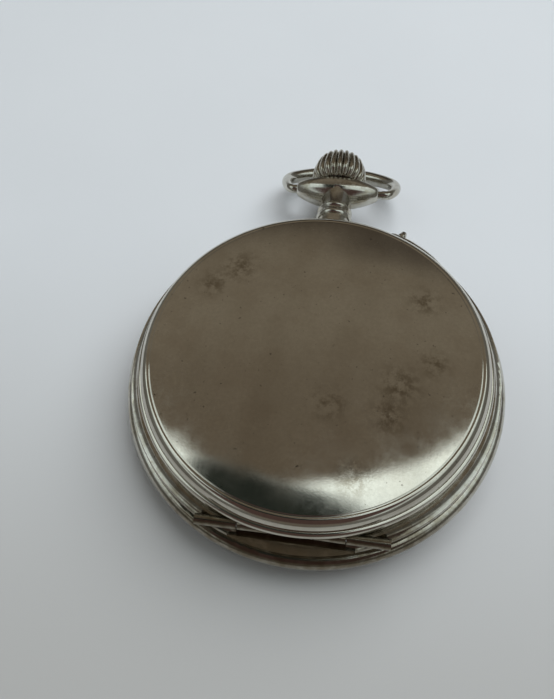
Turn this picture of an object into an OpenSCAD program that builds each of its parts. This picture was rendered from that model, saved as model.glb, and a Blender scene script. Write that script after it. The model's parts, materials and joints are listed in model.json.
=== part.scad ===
// Open-face keyless pocket watch, lying on its glass with the back up.
// Millimetres. +Z points out of the back, +Y towards the crown at 12 o'clock.
// The origin is the centre of the case on the plane of the bezel's front rim.

/* [Case] */
// Outer diameter of the case, over the bezel
case_d = 51; // [50:0.5:52]
// Height of the top of the back above the bezel's front rim
case_h = 13.8; // [13.6:0.1:14.4]
// Wall thickness of the covers
cover_t = 0.5; // [0.4:0.05:0.6]
// Distance of the hinge pin from the case's centre
hinge_y = 22.1; // [22:0.05:22.3]
// Length of the hinge over its outer knuckles
hinge_len = 22.8; // [20:0.1:24]

/* [Pendant, crown and bow] */
// Distance of the bow's axis from the case's centre
bow_axis_y = 32.3; // [32:0.1:32.5]
// Length of the pendant's cross piece
cross_len = 12.8; // [12.6:0.1:13]
// Diameter of the crown
crown_d = 8.6; // [8:0.1:9]
// Number of flutes round the crown
crown_flutes = 24; // [20:1:32]
// Angle that the bow droops below level at rest, in degrees
bow_droop = 30.5; // [29:0.5:31]
// Thickness of the bow's wire
bow_wire = 2.2; // [2:0.1:2.2]

/* [Movement] */
// Diameter of the main plate
plate_d = 41.6; // [41:0.1:41.8]
// Distance of the seconds hand from the centre
seconds_y = 9.2; // [9.1:0.05:9.3]
// Diameter of the balance wheel
balance_d = 14.8; // [14:0.1:14.8]

/* [Dial and hands] */
// Diameter of the dial
dial_d = 39.6; // [38:0.1:40]
// Length of the minute hand from the centre
minute_len = 17; // [14:0.5:18]
// Length of the hour hand from the centre
hour_len = 11.5; // [9:0.5:13]

/* [Hidden] */
$fn = 96;
eps = 0.01;

// Colours
silver = "silver";
gilt = "goldenrod";
steel = "lightsteelblue";
blued = "midnightblue";
ruby = "crimson";
nickel = "gainsboro";

// Case heights and radii
case_r = case_d / 2;
bezel_top = 6.1;
band_bottom = 3.9;
band_bore = 21.0;
band_seat_r = 22.7;
band_face_r = 23.85;
seat_gap = 0.02;
bead_r = 24.45;
bead_z = 7.65;
bead_half = 0.75;
band_top = 8.85;
lip_r = 21.6;
lip_top = 9.5;
rim_r = 23.0;
rim_z = 9.95;
groove_r = 21.2;
groove_z = 12.25;

// Hinge, along X at 6 o'clock
hinge_z = 9.0;
knuckle_r = 0.65;
hinge_pin_r = 0.3;
hinge_hole_r = 0.34;
hinge_gap_r = 0.75;
outer_knuckle_x = 6.4;
cover_knuckle_x = 2.6;
knuckle_gap = 0.1;
open_relief_r = 1.85;
open_relief_x = 7.5;

// Thumb catch in the back cover's rim
catch_angle = 12;

// Pendant
pendant_z = 6.3;
neck_y0 = 23.4;
neck_r = 2.45;
neck_ring_r = 2.8;
pin_back = 1.3;
cross_r = 2.75;
cross_end_r = 1.0;
cross_flat_y = 33.0;
bow_hole_r = 0.65;
bow_pin_r = 0.6;
crown_y0 = 33.1;
crown_y1 = 38.6;

// Pin-set pusher
pusher_angle = 66;
pusher_z = 7.15;
pusher_r = 0.62;

// Dial side
crystal_z0 = 0.25;
crystal_z1 = 1.25;
dial_z0 = 3.1;
dial_z1 = 3.9;
minute_hand_z = 1.75;
hour_hand_z = 2.2;
seconds_hand_z = 2.75;
hand_t = 0.15;

// Movement heights
plate_z0 = 3.9;
plate_z1 = 6.3;
plate_r = plate_d / 2;
under_z = 7.8;
top_z = 9.0;
winding_low = 8.8;
winding_top = 9.15;
wheel_t = 0.2;

// Tooth modules and counts
m_barrel = 0.19;
m_center = 0.145;
m_third = 0.12;
m_fourth = 0.125;
m_motion = 0.125;
m_hour = 0.12;
barrel_n = 80;
center_n = 80;
third_n = 75;
fourth_n = 80;
pinion_n = 10;
escape_pinion_n = 8;
escape_n = 15;
cannon_n = 12;
minute_n = 36;
hour_n = 40;
setting_n = 74;
ratchet_n = 40;
crown_wheel_n = 29;
winding_n = 16;

// Centre distances
d_barrel = m_barrel * (barrel_n + pinion_n) / 2;
d_third = m_center * (center_n + pinion_n) / 2;
d_fourth = m_third * (third_n + pinion_n) / 2;
d_escape = m_fourth * (fourth_n + escape_pinion_n) / 2;
d_motion = m_motion * (cannon_n + minute_n) / 2;
d_setting = m_motion * (minute_n + setting_n) / 2;

// Positions in plan
barrel_at = polar(d_barrel, 56);
fourth_at = [0, -seconds_y];
third_at = meet([0, 0], d_third, fourth_at, d_fourth, 1);
balance_at = [-11.3, -1.0];
escape_to_balance = 8.56;
escape_at = meet(fourth_at, d_escape, balance_at, escape_to_balance, 1);
pallet_reach = 4.16;
pallet_at = escape_at + pallet_reach * toward(escape_at, balance_at);
motion_at = polar(d_motion, 78.5);
setting_at = motion_at + [0, d_setting];
crown_wheel_at = [0, 14.2];
m_wind = 2 * norm(barrel_at - crown_wheel_at) / (ratchet_n + crown_wheel_n);
yoke_at = [-7, 16.3];
yoke_z = 4.15;

// Pivots
pivot_r = 0.12;
pivot_hole_r = 0.15;
jewel_r = 0.65;
balance_r = balance_d / 2;
escape_r = 3.6;

// ---------- helpers ----------
function polar(d, a) = [d * cos(a), d * sin(a)];
function toward(a, b) = (b - a) / norm(b - a);
function heading(a, b) = atan2(b[1] - a[1], b[0] - a[0]);
// One of the two points at distance ra from a and rb from b
function meet(a, ra, b, rb, side) =
  let (d = norm(b - a))
  let (along = (ra * ra - rb * rb + d * d) / (2 * d))
  let (off = sqrt(ra * ra - along * along))
  let (u = toward(a, b))
  a + along * u + side * off * [-u[1], u[0]];
function arc(c, r, a0, a1, n) =
  [for (i = [0:n]) c + polar(r, a0 + (a1 - a0) * i / n)];
// Four corners of one straight-sided tooth
function tooth(m, n, i, phase) =
  let (pitch = 360 / n)
  let (a = phase + i * pitch)
  let (root = m * n / 2 - 1.15 * m)
  let (tip = m * n / 2 + 0.8 * m)
  [polar(root, a - 0.23 * pitch), polar(tip, a - 0.11 * pitch),
   polar(tip, a + 0.11 * pitch), polar(root, a + 0.23 * pitch)];
function gear_outline(m, n, phase) = [for (i = [0:n - 1]) each tooth(m, n, i, phase)];

module at(p, z = 0) {
  translate([p[0], p[1], z]) children();
}
module disc(r, z0, z1) {
  translate([0, 0, z0]) cylinder(r = r, h = z1 - z0);
}
module slab(z0, z1) {
  translate([0, 0, z0]) linear_extrude(z1 - z0) children();
}
// Toothed disc with a tooth centred on the direction phase
module gear(m, n, z0, z1, phase) {
  slab(z0, z1) polygon(gear_outline(m, n, phase));
}
// The openings between the arms of a wheel, cut out as sectors
module arm_gaps(r_in, r_out, arms, arm_w, z0, z1) {
  slab(z0 - eps, z1 + eps) difference() {
    circle(r_out);
    circle(r_in);
    for (i = [0:arms - 1])
      rotate(i * 360 / arms) translate([0, -arm_w / 2]) square([r_out + 1, arm_w]);
  }
}
// A wheel with arms, on an arbor with a leafed pinion and two pivots
module arbored_wheel(m, n, z0, phase, mp, np, pz0, pz1, pphase, low, high, arms = 4) {
  pitch_r = m * n / 2;
  difference() {
    gear(m, n, z0, z0 + wheel_t, phase);
    arm_gaps(1.2, pitch_r - 0.8, arms, 0.5, z0, z0 + wheel_t);
  }
  gear(mp, np, pz0, pz1, pphase);
  disc(0.38, min(z0, pz0) - 0.1, max(z0 + wheel_t, pz1) + 0.1);
  disc(pivot_r, low, high);
}
// Slotted cheese-head screw standing on z, with its shank below
module screw(r, z, head_t, shank_r, depth, turn = 0) {
  difference() {
    disc(r, z, z + head_t);
    rotate(turn) translate([-r - eps, -r * 0.14, z + head_t * 0.5])
      cube([2 * r + 2 * eps, r * 0.28, head_t]);
  }
  disc(shank_r, z - depth, z + eps);
}
// Runs its children along X, centred on the hinge pin
module on_hinge(x0, x1) {
  translate([x0, -hinge_y, hinge_z]) rotate([0, 90, 0]) linear_extrude(x1 - x0) children();
}
module both_sides() {
  children();
  mirror([1, 0, 0]) children();
}
// Puts children at a pendant height, with their Z along +Y
module along_y(y, z) {
  translate([0, y, z]) rotate([-90, 0, 0]) children();
}

// A bore along +Y, turned so that its seam stays clear of level faces
module bore_y(r, y, z, h) {
  along_y(y, z) rotate(33) cylinder(r = r, h = h);
}

// ---------- case ----------
module bead_section(gap) {
  translate([bead_r - bead_half, bead_z]) circle(bead_half + gap);
}
module bead_ring(gap) {
  rotate_extrude() bead_section(gap);
}
module band_profile() {
  difference() {
    union() {
      translate([band_bore, band_bottom]) square([band_seat_r - band_bore, band_top - band_bottom]);
      translate([band_bore, bezel_top + 0.15])
        square([band_face_r - band_bore, band_top - bezel_top - 0.45]);
      bead_section(0);
      translate([band_bore, band_top - eps]) square([lip_r - band_bore, lip_top - band_top]);
    }
    translate([24.4, 9.35]) circle(1.25);
  }
}
module case_band() {
  color(silver) difference() {
    union() {
      rotate_extrude() band_profile();
      both_sides() on_hinge(outer_knuckle_x, hinge_len / 2) circle(knuckle_r);
    }
    both_sides() on_hinge(outer_knuckle_x - 1, hinge_len) circle(hinge_hole_r);
    on_hinge(-outer_knuckle_x, outer_knuckle_x) circle(hinge_gap_r);
    // Room behind the hinge for the rim of the opened back
    intersection() {
      on_hinge(-outer_knuckle_x, outer_knuckle_x) circle(open_relief_r);
      translate([-10, -30, 0]) cube([20, 30 - hinge_y, 20]);
    }
    translate([-open_relief_x, -30, 7.45]) cube([2 * open_relief_x, 30 - 22.85, 5]);
    // Stem tube and pusher hole
    bore_y(1.05, 19, pendant_z, 8);
    rotate(pusher_angle) translate([19, 0, pusher_z]) rotate([0, 90, 0]) rotate(33)
      cylinder(r = pusher_r + 0.05, h = 8);
    case_screw_holes();
  }
}
// The case screws stand in the plate's edge, with their heads over a notch in the band
case_screw_at = [polar(20.1, 150), polar(20.1, -20)];
module case_screw_holes() {
  for (p = case_screw_at) at(p) {
    disc(0.42, 5, 7);
    disc(1.35, plate_z1, 10);
  }
}
module bezel_profile() {
  difference() {
    union() {
      intersection() {
        translate([case_r - 6.2, 5.0]) circle(6.2);
        translate([19.6, 0]) square([6.5, 5.0]);
      }
      translate([19.6, 0]) square([2.2, 3.0]);
      translate([22, 4.9]) square([case_r - 1.1 - 22, bezel_top - 4.9]);
      intersection() {
        translate([case_r - 1.1, 5.0]) circle(1.1);
        translate([22, 4.9]) square([4, 2]);
      }
    }
    translate([0, crystal_z0]) square([20.35, crystal_z1 - crystal_z0]);
    translate([0, crystal_z1 - eps]) square([19.95, 2]);
    translate([0, 2.9]) square([21.2, 5]);
    translate([0, band_bottom - 0.1]) square([band_seat_r + 0.02, 5]);
  }
}
module front_bezel() {
  color(silver) difference() {
    rotate_extrude() bezel_profile();
    // Notch round the stem's tube
    bore_y(1.05, 22, pendant_z, 5);
  }
}
module crystal() {
  color("azure", 0.4) disc(20.35, crystal_z0, crystal_z1);
}
// Outer line of the domed back, from the rim bead to the centre
function back_dome(lift) =
  let (rise = case_h - groove_z)
  let (ball = (groove_r * groove_r + rise * rise) / (2 * rise))
  [for (i = [0:8]) let (r = groove_r * (1 - i / 8))
    [r, case_h - ball + sqrt(ball * ball - r * r) - lift]];
function back_shoulder(lift) =
  arc([groove_r - 0.15, groove_z - 1.35], 1.35 - lift, 78, -12, 5);
module cover_profile() {
  difference() {
    union() {
      polygon(concat([[0, 9.3], [22.35, 9.3]], [for (i = [5:-1:0]) back_shoulder(0)[i]],
        back_dome(0)));
      translate([rim_r - 0.62, rim_z]) circle(0.62);
      translate([22.1, 9.32]) square([0.7, 1.1]);
    }
    polygon(concat([[0, 9], [22.1, 9], [22.1, 9.9]],
      [for (i = [5:-1:0]) back_shoulder(cover_t)[i]], back_dome(cover_t)));
    translate([groove_r, groove_z + 0.14]) circle(0.2, $fn = 24);
  }
}
module back_cover() {
  color(silver) difference() {
    union() {
      rotate_extrude() cover_profile();
      both_sides() on_hinge(cover_knuckle_x, outer_knuckle_x - knuckle_gap) circle(knuckle_r);
      both_sides() translate([cover_knuckle_x, -22.75, hinge_z])
        cube([outer_knuckle_x - knuckle_gap - cover_knuckle_x, 0.7, 0.9]);
    }
    both_sides() on_hinge(outer_knuckle_x, hinge_len / 2 + 0.1) circle(hinge_gap_r);
    on_hinge(-cover_knuckle_x, cover_knuckle_x) circle(hinge_gap_r);
    on_hinge(-hinge_len, hinge_len) circle(hinge_hole_r);
    // Thumb catch
    rotate(catch_angle) translate([rim_r + 1.25, 0, 9]) cylinder(r = 1.7, h = 2);
  }
}
// The dust cover's own dome, under the back
function dust_dome(lift) =
  let (rise = 0.95)
  let (ball = (20.6 * 20.6 + rise * rise) / (2 * rise))
  [for (i = [0:8]) let (r = 20.6 * (1 - i / 8))
    [r, 11.6 - ball + sqrt(ball * ball - r * r) - lift]];
module dust_profile() {
  polygon(concat([[lip_r + 0.05, 9.05], [21.95, 9.05], [21.95, 10.1], [21.4, 10.45]],
    dust_dome(0), [for (i = [8:-1:0]) dust_dome(0.35)[i]], [[21.25, 10.1], [lip_r + 0.05, 9.9]]));
}
module dust_cover() {
  color(silver) difference() {
    union() {
      rotate_extrude() dust_profile();
      on_hinge(-cover_knuckle_x + knuckle_gap, cover_knuckle_x - knuckle_gap) circle(knuckle_r);
    }
    both_sides() on_hinge(cover_knuckle_x, hinge_len / 2) circle(hinge_gap_r);
    on_hinge(-hinge_len, hinge_len) circle(hinge_hole_r);
  }
}
module hinge_pin() {
  color(steel) on_hinge(-hinge_len / 2 + 0.15, hinge_len / 2 - 0.15) circle(hinge_pin_r);
}

// ---------- pendant, bow and crown ----------
module cross_profile() {
  half = cross_len / 2;
  bulge = (half * half + pow(cross_r - cross_end_r, 2)) / (2 * (cross_r - cross_end_r));
  span = asin(half / bulge);
  polygon(concat([[0, -half]], arc([cross_r - bulge, 0], bulge, -span, span, 14), [[0, half]]));
}
module neck_profile() {
  square([neck_r, bow_axis_y - neck_y0]);
  translate([neck_ring_r - 0.7, 26.4 - neck_y0]) circle(0.7);
  translate([neck_ring_r - 0.5, 27.8 - neck_y0]) circle(0.4);
}
module pendant_blank() {
  along_y(neck_y0, pendant_z) rotate(33) rotate_extrude() neck_profile();
  difference() {
    translate([0, bow_axis_y, pendant_z]) rotate([0, 90, 0]) rotate(33)
      rotate_extrude() cross_profile();
    translate([-10, cross_flat_y, 0]) cube([20, 5, 12]);
  }
}
// The pendant's foot is shaped to the band, its bead and the bezel's edge
module pendant_seated() {
  difference() {
    difference() {
      pendant_blank();
      disc(band_face_r + seat_gap, 2, 12);
    }
    disc(case_r + 0.05, 2, bezel_top + 0.05);
    bead_ring(seat_gap);
  }
}
module pendant() {
  color(silver) difference() {
    difference() {
      pendant_seated();
      bore_y(1.05, 22, pendant_z, 14);
    }
    both_sides() translate([cross_len / 2 - 1.7, bow_axis_y, pendant_z]) rotate([0, 90, 0])
      cylinder(r = bow_hole_r, h = 3);
    translate([0, bow_axis_y - pin_back, pendant_z + 1.5]) cylinder(r = 0.35, h = 4);
  }
}
module pendant_pin() {
  color(steel) translate([0, bow_axis_y - pin_back, pendant_z + 1.55]) cylinder(r = 0.35, h = 0.85);
}
// The bow's centre line on each side: the pivot pin, a tight corner, a nearly straight side,
// a round far corner and a flatter far end, each tangent to the next. The wire grows from arc
// to arc, and each arc runs a little way into the thicker one after it.
bow_corner_x = 7.1;
bow_corner_r = 0.95;
bow_corner_turn = 62;
bow_side_r = 7.8;
bow_far_r = 3.5;
bow_reach = 10;
bow_step = 0.24;
bow_lap = 0.1;
// The bow has slid to one side in the pendant's holes
bow_slide = 0.3;
side_c = [bow_corner_x, bow_corner_r] + (bow_side_r - bow_corner_r)
  * [-sin(bow_corner_turn), cos(bow_corner_turn)];
far_c = side_c + [bow_side_r - bow_far_r, 0];
far_turn = 90 - 2 * atan((bow_reach - far_c[1] - bow_far_r) / far_c[0]);
end_r = bow_far_r + far_c[0] / cos(far_turn);
module wire_arc(c, r, from, sweep, wire, lap) {
  translate(c) rotate(from) rotate_extrude(angle = sweep + lap / r * 180 / PI)
    translate([r, 0]) circle(wire / 2);
}
module bow_limb() {
  pin_x = cross_len / 2 - 1.3;
  translate([pin_x, 0, 0]) rotate([0, 90, 0])
    cylinder(r = bow_pin_r, h = bow_corner_x + bow_lap - pin_x);
  wire_arc([bow_corner_x, bow_corner_r], bow_corner_r, -90, bow_corner_turn,
    bow_wire - 3 * bow_step, bow_lap);
  wire_arc(side_c, bow_side_r, bow_corner_turn - 90, 90 - bow_corner_turn,
    bow_wire - 2 * bow_step, bow_lap);
  wire_arc(far_c, bow_far_r, 0, far_turn, bow_wire - bow_step, bow_lap);
}
module bow() {
  color(silver) translate([bow_slide, bow_axis_y, pendant_z]) rotate([-bow_droop, 0, 0]) {
    both_sides() bow_limb();
    wire_arc([0, bow_reach - end_r], end_r, far_turn, 180 - 2 * far_turn, bow_wire, 0);
  }
}
function flute_outline(n, r) =
  [for (i = [0:n - 1]) each let (a = i * 360 / n, s = 360 / n)
    [polar(r - 0.42, a - s / 2), polar(r - 0.05, a - s * 0.27), polar(r, a),
     polar(r - 0.05, a + s * 0.27)]];
// The crown's side rises from a round base and leans in to the rim; a flat dome closes it
crown_base_r = 1.7;
crown_rim = [3.6, 4.8];
crown_edge_r = 0.5;
crown_edge_turn = 75;
module crown_half() {
  wide = crown_d / 2;
  lean = 2 * atan((wide - crown_rim[0]) / (crown_rim[1] - crown_base_r));
  side_r = (crown_rim[1] - crown_base_r) / sin(lean);
  edge_c = crown_rim - crown_edge_r * [cos(lean), sin(lean)];
  edge_x = edge_c[0] + crown_edge_r * cos(crown_edge_turn);
  dome_r = edge_x / cos(crown_edge_turn);
  polygon(concat([[0, 0]], arc([wide - crown_base_r, crown_base_r], crown_base_r, -80, 0, 6),
    arc([wide - side_r, crown_base_r], side_r, lean / 5, lean, 4),
    arc(edge_c, crown_edge_r, lean + 12, crown_edge_turn, 3),
    arc([0, crown_y1 - crown_y0 - dome_r], dome_r, crown_edge_turn + 3, 90, 4)));
}
module crown() {
  color(nickel) along_y(crown_y0, pendant_z) difference() {
    intersection() {
      rotate_extrude() crown_half();
      linear_extrude(8) polygon(flute_outline(crown_flutes, crown_d / 2));
    }
    translate([0, 0, -1]) cylinder(r = 0.7, h = 5.4);
    translate([0, 0, -1]) cylinder(r = 1.6, h = 1.4);
  }
}
module winding_stem() {
  color(steel) {
    along_y(14.15, pendant_z) cylinder(r = 0.35, h = 0.75);
    along_y(14.85, pendant_z) cylinder(r = 0.6, h = 22.6);
    along_y(18.7, pendant_z) cylinder(r = 0.95, h = 2.0);
    along_y(34.2, pendant_z) cylinder(r = 0.7, h = 3.3);
  }
}
module set_pusher() {
  color(silver) rotate(pusher_angle) translate([0, 0, pusher_z]) {
    translate([19.9, 0, 0]) rotate([0, 90, 0]) cylinder(r = pusher_r, h = 6.0);
    translate([25.9, 0, 0]) rotate([0, 90, 0]) cylinder(r1 = pusher_r, r2 = 0.4, h = 0.7);
    translate([19.85, -0.5, 4.1 - pusher_z]) cube([0.75, 1.0, pusher_z - 4.1 + 0.3]);
  }
}
// A bar on the bead's crest beside the pusher, bent tighter than the case so that its far
// end runs into the bead
guard_c = polar(7.6, 70);
guard_bend = 17.45;
guard_tube = 0.8;
module pusher_guard() {
  color(silver) difference() {
    translate([guard_c[0], guard_c[1], pusher_z - 0.05]) rotate(25) rotate_extrude(angle = 46)
      translate([guard_bend, 0]) circle(guard_tube);
    disc(bead_r + seat_gap, 3, 12);
    rotate(pusher_angle) translate([22, 0, pusher_z]) rotate([0, 90, 0]) rotate(33)
      cylinder(r = pusher_r + 0.05, h = 8);
  }
}
module case_screws() {
  color(blued) for (p = case_screw_at) at(p) screw(1.25, plate_z1 + 0.01, 0.5, 0.38, 1.2, 30);
}

// ---------- dial and hands ----------
dial_feet = [polar(17.6, 30), polar(17.6, 205), polar(17.6, -50)];
module dial() {
  color("ivory") difference() {
    union() {
      disc(dial_d / 2, dial_z0, dial_z1);
      for (p = dial_feet) at(p) disc(0.5, dial_z1 - eps, 5.4);
    }
    disc(1.0, 0, 10);
    at(fourth_at) disc(0.35, 0, 10);
    at(fourth_at) disc(4.6, 0, dial_z0 + 0.2);
  }
}
module dial_screws() {
  color(blued) for (p = dial_feet) {
    a = atan2(p[1], p[0]);
    rotate(a) translate([18.15, 0, 5.0]) rotate([0, 90, 0]) cylinder(r = 0.35, h = 2.4);
  }
}
module hand(length, w, z, bore, boss) {
  difference() {
    union() {
      slab(z, z + hand_t)
        polygon([[-w * 0.3, 0], [-w, length * 0.62], [0, length], [w, length * 0.62],
          [w * 0.3, 0], [w * 0.5, -length * 0.2], [-w * 0.5, -length * 0.2]]);
      disc(boss, z - 0.02, z + hand_t + 0.02);
    }
    disc(bore, z - 1, z + 1);
  }
}
module hour_hand() {
  color(blued) rotate(62) hand(hour_len, 1.0, hour_hand_z, 0.85, 1.5);
}
module minute_hand() {
  color(blued) rotate(-54) hand(minute_len, 0.7, minute_hand_z, 0.5, 1.2);
}
module seconds_hand() {
  color(blued) at(fourth_at) rotate(100) hand(3.9, 0.25, seconds_hand_z, pivot_r, 0.45);
}

// ---------- motion and setting work ----------
module cannon_pinion() {
  color(steel) difference() {
    union() {
      disc(0.5, minute_hand_z - 0.1, 4.4);
      gear(m_motion, cannon_n, 4.33, 4.65, 78.5);
    }
    disc(0.32, 1, 5);
  }
}
module minute_wheel() {
  color(gilt) at(motion_at) difference() {
    union() {
      gear(m_motion, minute_n, 4.37, 4.6, 258.5 + 180 / minute_n);
      gear(m_hour, pinion_n, 4.0, 4.38, 258.5 + 180 / pinion_n);
    }
    disc(0.34, 3, 5);
  }
}
module hour_wheel() {
  color(gilt) difference() {
    union() {
      gear(m_hour, hour_n, 4.02, 4.24, 78.5);
      disc(0.85, hour_hand_z - 0.05, 4.24);
    }
    disc(0.56, 1, 5);
  }
}
// The setting wheel has a gap where the minute wheel's tooth comes in
minute_phase = 258.5 + 180 / minute_n;
minute_step = 360 / minute_n;
minute_lead = (90 - minute_phase) / minute_step;
setting_phase = 270 + (0.5 + (minute_lead - floor(minute_lead))) * 360 / setting_n;
module setting_wheel() {
  color(steel) at(setting_at) difference() {
    gear(m_motion, setting_n, 4.37, 4.6, setting_phase);
    arm_gaps(1.2, 3.7, 5, 0.6, 4.37, 4.6);
    disc(0.44, 3, 5);
  }
}
module setting_yoke() {
  color(steel) difference() {
    union() {
      slab(yoke_z, yoke_z + 0.25) polygon([[-7.7, 16.9], [-7.7, 15.7], [-1.4, 15.3], [1.4, 15.3], [3.0, 15.6],
        [8.35, 17.2], [7.8, 18.15], [2.6, 16.5], [1.0, 16.1], [-1.0, 16.1], [-6.4, 16.95]]);
      at(yoke_at) disc(0.95, yoke_z, yoke_z + 0.25);
      translate([-0.5, 15.85, yoke_z + 0.2]) cube([1.0, 0.28, 0.72]);
    }
    at(yoke_at) disc(0.42, 4, 6);
  }
}
module yoke_spring() {
  color(steel) {
    slab(yoke_z, yoke_z + 0.25) polygon([[-12.0, 12.6], [-12.0, 14.0], [-10.4, 14.0],
      [-5.2, 15.25], [-5.1, 15.0], [-10.3, 13.4], [-10.3, 12.6]]);
    translate([-11.9, 12.7, yoke_z + 0.1]) cube([1.4, 1.2, lever_recess_z - yoke_z - 0.1]);
  }
}
clutch_y0 = 15.2;
clutch_y1 = 16.98;
module sliding_pinion() {
  color(steel) along_y(clutch_y0, pendant_z) difference() {
    union() {
      cylinder(r = 1.2, h = clutch_y1 - clutch_y0);
      linear_extrude(0.4) polygon(gear_outline(0.22, 15, 0));
      translate([0, 0, 0.38]) cylinder(r = 1.62, h = 0.15);
      translate([0, 0, 1.1]) cylinder(r = 1.62, h = clutch_y1 - clutch_y0 - 1.1);
    }
    translate([0, 0, -1]) cylinder(r = 0.65, h = 4);
  }
}
winding_y0 = 17.05;
winding_y1 = 18.6;
module winding_pinion() {
  color(steel) along_y(winding_y0, pendant_z) difference() {
    union() {
      cylinder(r = 1.7, h = winding_y1 - winding_y0);
      translate([0, 0, 0.6]) linear_extrude(0.8)
        polygon(gear_outline(0.262, winding_n, 90));
    }
    translate([0, 0, -1]) cylinder(r = 0.6, h = 4);
  }
}

// ---------- plate and bridges ----------
module train_pivot_holes(z0, z1, r) {
  for (p = [third_at, fourth_at, escape_at, pallet_at, balance_at]) at(p) disc(r, z0, z1);
}
bridge_screw_at = [
  polar(19.3, 12), polar(19.3, 45), polar(19.3, 112),
  polar(19.3, -12), polar(19.3, -85), polar(19.3, -50)
];
cock_foot_at = polar(17.2, 226);
lever_recess_z = 5.1;
// Plate with the dial side's recesses for the motion and setting work
module plate_blank() {
  difference() {
    disc(plate_r, plate_z0, plate_z1);
    slab(plate_z0 - 1, 4.7) {
      circle(2.9);
      translate(motion_at) circle(2.75);
      translate(setting_at) circle(5.05);
    }
  }
}
module plate_lever_recess() {
  difference() {
    plate_blank();
    slab(plate_z0 - 1, lever_recess_z) {
      polygon([[-8.4, 17.6], [-8.4, 14.8], [-3, 14.2], [3, 14.2],
        [9.3, 15.8], [9.3, 19.2], [2.6, 17.6], [-2.6, 17.6]]);
      polygon([[-12.6, 12.2], [-12.6, 14.4], [-10.6, 14.4], [-8, 15.6],
        [-5, 15.6], [-5, 14.6], [-9.9, 13.1], [-9.9, 12.2]]);
    }
  }
}
module plate_train_recess() {
  difference() {
    plate_lever_recess();
    disc(6.2, 5.2, 8);
    at(third_at) disc(1.2, 5.1, 8);
    at(barrel_at) disc(8.1, 5.5, 8);
  }
}
// Slots for the clutch, the winding pinion and the pusher's foot, and the stem's bores
module plate_slotted() {
  difference() {
    difference() {
      plate_train_recess();
      slab(3, 9) {
        translate([-2.1, 14.3]) square([4.2, 2.72]);
        translate([-2.6, 17.0]) square([5.2, 1.75]);
        rotate(pusher_angle) translate([18.1, -0.75]) square([4, 1.5]);
      }
    }
    bore_y(0.4, 14, pendant_z, 1);
    bore_y(1.0, 18.6, pendant_z, 4);
  }
}
module plate_pivots() {
  disc(0.45, 3, 8);
  at(barrel_at) disc(0.75, 4.8, 8);
  train_pivot_holes(plate_z0 - 1, 8, pivot_hole_r);
  for (p = [third_at, escape_at, pallet_at, balance_at]) at(p) disc(jewel_r, 4.6, 5.0);
  at(fourth_at) disc(0.3, plate_z0 - 1, 4.4);
}
module plate_fixings() {
  for (p = dial_feet) {
    at(p) disc(0.52, plate_z0 - 1, 5.45);
    rotate(atan2(p[1], p[0])) translate([18.1, 0, 5.0]) rotate([0, 90, 0]) rotate(33)
      cylinder(r = 0.37, h = 4);
  }
  for (p = bridge_screw_at) at(p) disc(0.4, 5, 8);
  at(cock_foot_at) disc(0.4, 5, 8);
  case_screw_holes();
}
module main_plate() {
  color(gilt) difference() {
    difference() {
      plate_slotted();
      plate_pivots();
    }
    plate_fixings();
  }
  color(gilt) at(motion_at) disc(0.3, 4.0, 4.8);
  color(gilt) at(setting_at) disc(0.4, 4.3, 4.8);
  color(gilt) at(yoke_at) disc(0.38, yoke_z - 0.05, 5.2);
}
module outline_disc() {
  intersection() {
    circle(plate_r - 0.5);
    children();
  }
}
module barrel_bridge_outline() {
  outline_disc() difference() {
    polygon([[-9.5, 21], [-8.0, 15.5], [-4.6, 8.5], [-2.9, 3.0], [-2.4, -1.4], [-1.2, -2.2],
      [3.2, -2.2], [6.0, -1.2], [21, -1.2], [21, 21]]);
    translate([-2.6, 17.0]) square([5.2, 1.75]);
  }
}
module train_bridge_outline() {
  outline_disc() difference() {
    polygon([[21, -1.6], [6.2, -1.6], [3.2, -3.0], [-1.0, -3.0], [-3.2, -4.6], [-6.4, -5.6],
      [-6.6, -10.5], [-7.4, -12.5], [-7.0, -21], [21, -21]]);
    translate(balance_at) circle(balance_r + 0.55);
  }
}
module feet_only() {
  difference() {
    intersection() {
      circle(plate_r - 0.5);
      children();
    }
    circle(18.2);
    translate([-2.9, 0]) square([5.8, 30]);
    rotate(pusher_angle) translate([10, -1.0]) square([20, 2.0]);
  }
}
module bridge_screw_bores(z0, z1) {
  for (p = bridge_screw_at) at(p) disc(0.42, z0, z1);
}
module barrel_bridge_blank() {
  difference() {
    union() {
      slab(under_z, top_z) barrel_bridge_outline();
      slab(plate_z1, under_z + eps) feet_only() barrel_bridge_outline();
    }
    at(barrel_at) disc(5.35, 8.5, 10);
    at(crown_wheel_at) disc(4.3, 8.3, 10);
    click_pocket();
    rotate(pusher_angle) translate([18.1, -1.0, 5]) cube([4, 2.0, 2.9]);
  }
}
module barrel_bridge() {
  color(nickel) difference() {
    difference() {
      barrel_bridge_blank();
      bore_y(2.0, 12, pendant_z, 5.02);
    }
    at(barrel_at) disc(0.85, 7, 10);
    at(crown_wheel_at) disc(0.5, 7, 10);
    disc(0.38, 7, 10);
    bridge_screw_bores(5, 10);
    at(click_at) disc(0.4, 7, 10);
    case_screw_holes();
  }
}
module train_bridge() {
  color(nickel) difference() {
    union() {
      slab(under_z, top_z) train_bridge_outline();
      slab(plate_z1, under_z + eps) feet_only() train_bridge_outline();
    }
    for (p = [third_at, fourth_at, escape_at]) at(p) {
      disc(pivot_hole_r, 7, 10);
      disc(jewel_r * 0.85, 8.5, 10);
    }
    bridge_screw_bores(5, 10);
    case_screw_holes();
  }
}
cock_angle = heading(balance_at, cock_foot_at);
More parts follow.
